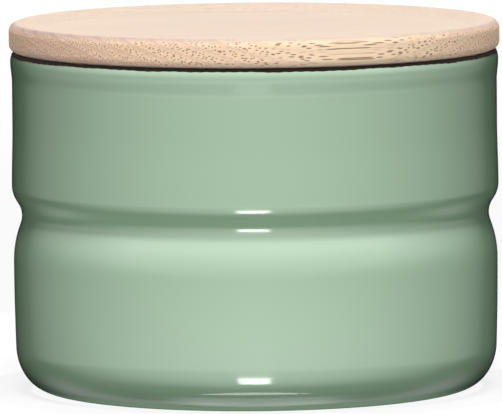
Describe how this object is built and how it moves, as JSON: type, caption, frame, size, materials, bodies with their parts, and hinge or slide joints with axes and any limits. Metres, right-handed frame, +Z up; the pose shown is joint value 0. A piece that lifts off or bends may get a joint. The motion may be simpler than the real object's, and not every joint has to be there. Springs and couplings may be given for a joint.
{
  "type": "storage canister with lift-off lid",
  "caption": "Squat round enamelled steel storage canister with a waist groove and a turned wooden lid that lifts off, held by a silicone lip seal.",
  "frame": {"origin": "centre of the foot ring, on the surface that the canister stands on", "axes": "+Z up, out of the mouth, along the axis that every piece is turned about; -Y is the side seen in the picture, with the lid's grain running from left front to right back, 23 degrees from +X"},
  "size_m": [0.13, 0.13, 0.0978],
  "materials": {
    "body_enamel": "gloss",
    "lining_enamel": "gloss",
    "rim_enamel": "satin",
    "ash_wood": "matte",
    "silicone": "matte"
  },
  "bodies": {
    "canister": {"body_shell": "body_enamel", "lining_enamel": "lining_enamel", "rim_enamel": "rim_enamel"},
    "lid": {"wood_lid": "ash_wood", "seal_ring": "silicone"}
  },
  "joints": [
    {"name": "lid_lift", "type": "slide", "parent": "canister", "child": "lid", "axis": [0, 0, 1], "range_m": [0, 0.1]}
  ]
}
